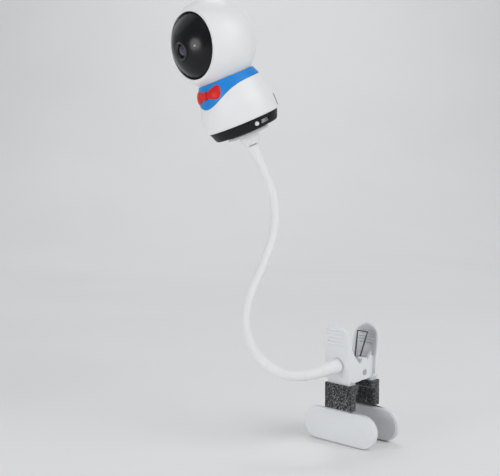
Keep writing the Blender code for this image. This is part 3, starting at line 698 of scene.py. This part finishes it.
dish = rounded(
    (
        (5.7, 0.0),
        (28.9, 0.0, 0.8),
        (30.1, 0.9, 1.0),
        (33.4, 9.1, 0.5),
        (30.9, 9.1),
        (28.0, 2.4),
        (5.7, 2.4),
    ),
    0.3,
    4,
    True,
)
points, faces = revolve(dish, UNIT, 144, True)
base = add("base_dish", points, faces, BLACK, "camera", (), 40.0)
Z_ALONG_X = Matrix.Rotation(math.radians(90), 4, "Y")
USB_TURN = Matrix.Rotation(math.radians(-4.0), 4, "Z")
USB = UNIT @ Matrix.Translation(Vector((0, 0, SOCKET_Z)) * MM) @ USB_TURN
BUTTON_TURN = Matrix.Rotation(math.radians(-21.0), 4, "Z")
BUTTON = UNIT @ BUTTON_TURN @ Matrix.Translation(Vector((30.0, 0, SOCKET_Z)) * MM)
PINHOLE = BUTTON @ Matrix.Translation(Vector((0, 0, -3.3)) * MM)
carve(base, cutter(*block((24, -4.5, -1.7), (36, 4.5, 1.7), USB)))
carve(base, round_cutter(2.25, 6, BUTTON @ Z_ALONG_X, 40))
carve(base, round_cutter(0.45, 4, PINHOLE @ Z_ALONG_X, 20))
dress(base, BLACK, "camera", ("base_cover",), 35.0)
cap = rounded(((0, -3.4), (1.98, -3.4), (1.98, 1.75, 0.5), (0, 1.95)), 0.25)
CAP_AIM = BUTTON @ Z_ALONG_X
turned("button_cap", cap, CAP_AIM, PALE, "pair_button_body", ("pair_button",), 48)

# ---------------------------------------------------------------- mount under the base

disc = ((3.6, -4.0), (19.1, -4.0, 0.7), (19.5, -3.4), (19.5, -1.2, 0.35), (3.6, -1.2))
plate = rounded(disc, 0.4, 4, True)
turned("plate_disc", plate, UNIT, PALE, "plate", ("mount_plate",), 120, True)
collar = (
    (3.5, -4.3),
    (9.4, -4.3, 0.4),
    (9.4, -6.2, 1.6),
    (7.9, -12.2, 0.9),
    (7.6, -13.2, 0.5),
    (3.5, -13.2),
)
nut = rounded(collar, 0.4, 4, True)
turned("collar_nut", nut, UNIT, WHITE, "lock_nut_body", ("lock_nut",), 96, True)
sleeve_end = rounded(
    (
        (0, -31.5),
        (4.55, -31.5, 0.1),
        (4.85, -26.0, 8.0),
        (5.45, -19.5, 8.0),
        (5.65, -15.6, 0.5),
        (5.2, -14.8, 0.3),
        (3.4, -14.8),
        (3.4, -20.3),
        (0, -20.3),
    ),
    0.12,
    6,
)
turned("upper_ferrule", sleeve_end, UNIT, WHITE, "neck_link_8", ("top_ferrule",), 64)

# ---------------------------------------------------------------- neck

LINK_NUMBERS = range(1, LINKS + 1)
KNEES = [Vector(JOINTS["neck_bend_%d" % k]["pos_m"]) / MM for k in LINK_NUMBERS]
KNEES.append((BASE - UP * NECK_TOP * MM) / MM)
# The neck leaves the clip pointing forward and six degrees down
START = Vector((0.0, -math.cos(math.radians(6)), -math.sin(math.radians(6))))


def neck_curve(per_link):
    """The neck's centre line in millimetres, as one smooth curve through its joints."""
    last = len(KNEES) - 1
    slopes = [(KNEES[min(k + 1, last)] - KNEES[max(k - 1, 0)]) / 2 for k in range(last + 1)]
    slopes[0] = START * (KNEES[1] - KNEES[0]).length
    slopes[-1] = UP * (KNEES[-1] - KNEES[-2]).length
    points = []
    for k in range(last):
        for step in range(per_link + (1 if k == last - 1 else 0)):
            t = step / per_link
            a = 2 * t**3 - 3 * t**2 + 1
            near = KNEES[k] * a + slopes[k] * (t**3 - 2 * t**2 + t)
            points.append(near + KNEES[k + 1] * (1 - a) + slopes[k + 1] * (t**3 - t**2))
    return points


PER_LINK = 24
line = neck_curve(PER_LINK)
first = [line[0] - START * 1.6, line[0] - START * 0.8]
line = first + line + [line[-1] + UP * 0.25]
half = PER_LINK // 2
for k in range(LINKS):
    knee = len(first) + k * PER_LINK
    low = 0 if k == 0 else knee - half
    high = len(line) - 1 if k == LINKS - 1 else knee + half
    name = "neck_skin_%d" % (k + 1)
    covered = ("neck_sleeve_%d" % (k + 1),)
    stretch = line[low : high + 1]
    made = tube(name, stretch, NECK_R, SLEEVE, None, covered, 40, False)
    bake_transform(made)

# ---------------------------------------------------------------- clip

TO_FERRULE = START.to_track_quat("Z", "Y").to_matrix().to_4x4()
SEAT = Matrix.Translation(Vector((0.0, -8.75, 55.25)) * MM) @ TO_FERRULE
lower = rounded(
    (
        (0, 0.0),
        (6.35, 0.0, 0.2),
        (6.3, 5.0, 9.0),
        (5.8, 11.0, 12.0),
        (5.2, 17.0, 12.0),
        (4.75, 21.6, 0.3),
        (4.45, 22.1, 0.1),
        (0, 21.8),
    ),
    0.15,
    6,
)
turned("lower_ferrule", lower, SEAT, WHITE, "clip", ("bottom_ferrule",), 72)

# The rear handle's inner face: a point at its foot, the way up it and the way out of it
HANDLE_FOOT = Vector((0.0, 29.1, 58.0))
HANDLE_UP = Vector((0.0, 5.4, 30.0)).normalized()
HANDLE_OUT = Vector((0.0, -HANDLE_UP.z, HANDLE_UP.y))
RIBS = 5
RIB_PITCH = 2.6


def rib_groove(start):
    """A cutter for one grip groove across the rear handle's dish."""
    aim = Matrix((Vector((1, 0, 0)), HANDLE_UP, HANDLE_OUT)).transposed().to_4x4()
    return block((-8.0, start, -1.45), (8.0, start + 0.9, 2.0), Matrix.Translation(HANDLE_FOOT * MM) @ aim)


def handle_dish(low, high, half, depth, lift=3.0):
    """A cutter for the shallow dish in the rear handle's inner face, rounded at its top."""
    outline = [(-half, low), (half, low)] + arc(half, 0, 180, 24, (0.0, high - half))
    points = []
    for level in (-depth, lift):
        for x, t in outline:
            points.append((HANDLE_FOOT + Vector((x, 0, 0)) + HANDLE_UP * t + HANDLE_OUT * level) * MM)
    count = len(outline)
    faces = [list(range(count)), list(range(count, 2 * count))]
    faces += [[k, (k + 1) % count, count + (k + 1) % count, count + k] for k in range(count)]
    return points, faces


for node, body in (("front_lever", "clip"), ("rear_lever", "rear_lever_body")):
    made = softened(node, node + "_shell", 0.55)
    if node == "rear_lever":
        carve(made, cutter(*handle_dish(2.0, 28.6, 11.0, 0.9)))
        for rib in range(RIBS):
            carve(made, cutter(*rib_groove(12.5 + RIB_PITCH * rib)))
    dress(made, CLIP_WHITE, body, (node,), 50.0)
for side, body in (("front", "clip"), ("rear", "rear_lever_body")):
    pad = softened(side + "_jaw_pad", side + "_pad_shell", 1.5, 6, 50.0)
    dress(pad, CLIP_WHITE, body, (side + "_jaw_pad",), 40.0)
    liner = softened(side + "_jaw_liner", side + "_pad_liner", 0.4, 3, 50.0)
    dress(liner, LINER, body, (side + "_jaw_liner",), 40.0)
    wrap = softened(side + "_felt_sleeve", side + "_felt_wrap", 0.9, 3, 40.0)
    modify(wrap, "REMESH", mode="VOXEL", voxel_size=0.00042, adaptivity=0.0, use_smooth_shade=True)
    for vertex in wrap.data.vertices:
        spot = vertex.co / MM
        fuzz = noise.fractal(spot * 1.4, 0.8, 2.1, 4) * 0.1 + noise.noise(spot * 0.28) * 0.12
        vertex.co += vertex.normal * fuzz * MM
    dress(wrap, FELT, body, (side + "_felt_sleeve",), 180.0)

pin = rounded(
    (
        (0, -14.4),
        (3.3, -14.4, 0.35),
        (3.4, -13.8),
        (2.2, -13.75),
        (2.2, 13.9),
        (2.5, 14.1, 0.2),
        (1.6, 14.5),
        (0, 14.3),
    ),
    0.15,
    3,
)
PIN_AIM = Matrix.Translation(PIVOT * MM) @ Z_ALONG_X
turned("pivot_rivet", pin, PIN_AIM, STEEL, "clip", ("pivot_pin",), 48)

COIL_R = 3.6
COIL_TURNS = 3
LEG_LENGTH = 16.0
LOOP_REACH = 36


def spring_half(side):
    """From a front leg's tip, round the pin and out towards the loop on the rear handle."""
    start = math.radians(202.0)
    stop = math.radians(-18.0) + 2 * COIL_TURNS * math.pi
    steps = 150
    points = []
    for k in range(steps + 1):
        share = k / steps
        angle = start + (stop - start) * share
        x = side * (6.2 - 5.0 * share)
        y = PIVOT.y + COIL_R * math.cos(angle)
        points.append(Vector((x, y, PIVOT.z + COIL_R * math.sin(angle))))
    leg = math.radians(112.0)
    leg_way = Vector((0, math.cos(leg), math.sin(leg)))
    tail = [points[0] + leg_way * LEG_LENGTH * share for share in (1, 0.8, 0.6, 0.4, 0.2)]
    return tail + points


loop = math.radians(72.0)
halves = [spring_half(-1), spring_half(1)]
top = []
for half_path in halves:
    end = half_path[-1]
    for share in (0.25, 0.5, 0.75, 1.0):
        out = 1 + 3.6 * share
        reach = LOOP_REACH * share
        top.append(Vector((end.x * out, end.y + reach * math.cos(loop), end.z + reach * math.sin(loop))))
path = halves[0] + top[:4] + list(reversed(top[4:])) + list(reversed(halves[1]))
spring = tube("spring_wire", path, 0.7, WIRE, None, ("torsion_spring",), 12)
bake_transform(spring)

# ---------------------------------------------------------------- carried-over CAD pieces

KEPT = {
    "speaker_grille": BLACK,
    "usb_socket": STEEL,
    "plate_pad": RUBBER,
    "mount_stud": STEEL,
    "threaded_insert": BRASS,
    "main_board": BOARD,
    "image_sensor_board": BOARD,
    "ir_led_board": BOARD,
    "speaker": BLACK,
    "pan_motor": STEEL,
    "tilt_motor": STEEL,
    "pan_deck": PALE,
    "head_yoke": PALE,
    "eye_frame": BLACK,
    "lens_barrel": BLACK,
    "pan_gear": NYLON,
    "tilt_gear": NYLON,
    "pan_pinion": BRASS,
    "tilt_pinion": BRASS,
    "ferrule_screw": STEEL,
}
KEPT.update({"neck_core_%d" % k: STEEL for k in LINK_NUMBERS})
for node, material in KEPT.items():
    obj = frame["nodes"][node]
    obj.data.materials.clear()
    obj.data.materials.append(material)

# ---------------------------------------------------------------- floor, light and camera

CAMERA_AZIMUTH = math.radians(44.0)
CAMERA_PITCH = 4.0  # degrees down from level

camera_data = bpy.data.cameras.new("camera")
camera_data.sensor_width = 36.0
camera_data.lens = 64.8
camera_data.clip_start = 0.02
camera_data.clip_end = 60.0
camera = bpy.data.objects.new("camera", camera_data)
bpy.context.scene.collection.objects.link(camera)
camera.location = (0.48521, -0.62103, 0.22139)
camera.rotation_euler = (math.radians(90 - CAMERA_PITCH), 0.0, CAMERA_AZIMUTH)
bpy.context.scene.camera = camera

floor_z = CAD_BOUNDS[0][2] - 0.0006
back = Vector((-math.sin(CAMERA_AZIMUTH), math.cos(CAMERA_AZIMUTH), 0.0))
across = Vector((back.y, -back.x, 0.0))
SWEEP_START = 1.5
SWEEP_R = 1.2
SWEEP_STEPS = 24
sweep_line = [(-3.0, 0.0), (SWEEP_START, 0.0)]
for step in range(1, SWEEP_STEPS + 1):
    turn = math.radians(90.0 * step / SWEEP_STEPS)
    sweep_line.append((SWEEP_START + SWEEP_R * math.sin(turn), SWEEP_R * (1 - math.cos(turn))))
sweep_line.append((SWEEP_START + SWEEP_R, 4.0))
floor_points = []
for side in (-5.0, 5.0):
    for away, rise in sweep_line:
        floor_points.append(back * away + across * side + Vector((0, 0, floor_z + rise)))
row = len(sweep_line)
floor_mesh = bpy.data.meshes.new("floor")
floor_mesh.from_pydata(floor_points, [], [(k, k + 1, row + k + 1, row + k) for k in range(row - 1)])
floor = bpy.data.objects.new("floor", floor_mesh)
bpy.context.scene.collection.objects.link(floor)
pale = Shader("floor_pale", (0.86, 0.86, 0.86), 0.85)
pale.tint(pale.noise(2.0, 2.0), ((0.3, (0.84, 0.84, 0.84)), (0.7, (0.87, 0.87, 0.87))))
floor_mesh.materials.append(pale.material)
floor_mesh.polygons.foreach_set("use_smooth", [True] * len(floor_mesh.polygons))


def soft_light(name, toward, distance, size, power, target):
    """A round area light at this distance from the target, facing it."""
    data = bpy.data.lights.new(name, "AREA")
    data.shape = "DISK"
    data.size = size
    data.energy = power
    light = bpy.data.objects.new(name, data)
    bpy.context.scene.collection.objects.link(light)
    direction = Vector(toward).normalized()
    light.location = Vector(target) + direction * distance
    light.rotation_euler = direction.to_track_quat("Z", "Y").to_euler()


# The key light sits where the dome mirrors it to the camera, as the highlight beside the photo's lens
head_centre = HEAD.translation
MIDDLE = (0, 0, 0.18)
BACKDROP = back * 2.2 + Vector((0, 0, 0.9))
eye_line = (Vector(camera.location) - head_centre).normalized()
spot = (EYE @ Matrix.Rotation(math.radians(27.0), 4, "Z")).to_3x3() @ Vector((0, -1, 0.02))
spot.normalize()
mirror = 2 * spot.dot(eye_line) * spot - eye_line
soft_light("key", mirror, 1.1, 0.6, 4.2, head_centre)
soft_light("right", (1.0, 0.15, 0.75), 1.6, 1.3, 12.5, MIDDLE)
soft_light("left", (-1.0, -0.2, 1.0), 2.2, 2.2, 3.6, MIDDLE)
soft_light("front", (0.7, -1.0, 1.6), 2.6, 2.2, 2.2, MIDDLE)
soft_light("backdrop", (1.0, -1.2, 3.4), 1.6, 1.0, 14.0, BACKDROP)

world = bpy.data.worlds.new("studio")
world.use_nodes = True
world.node_tree.nodes["Background"].inputs["Color"].default_value = (0.9, 0.92, 0.95, 1.0)
world.node_tree.nodes["Background"].inputs["Strength"].default_value = 0.37
bpy.context.scene.world = world
bpy.context.scene.view_settings.view_transform = "Standard"
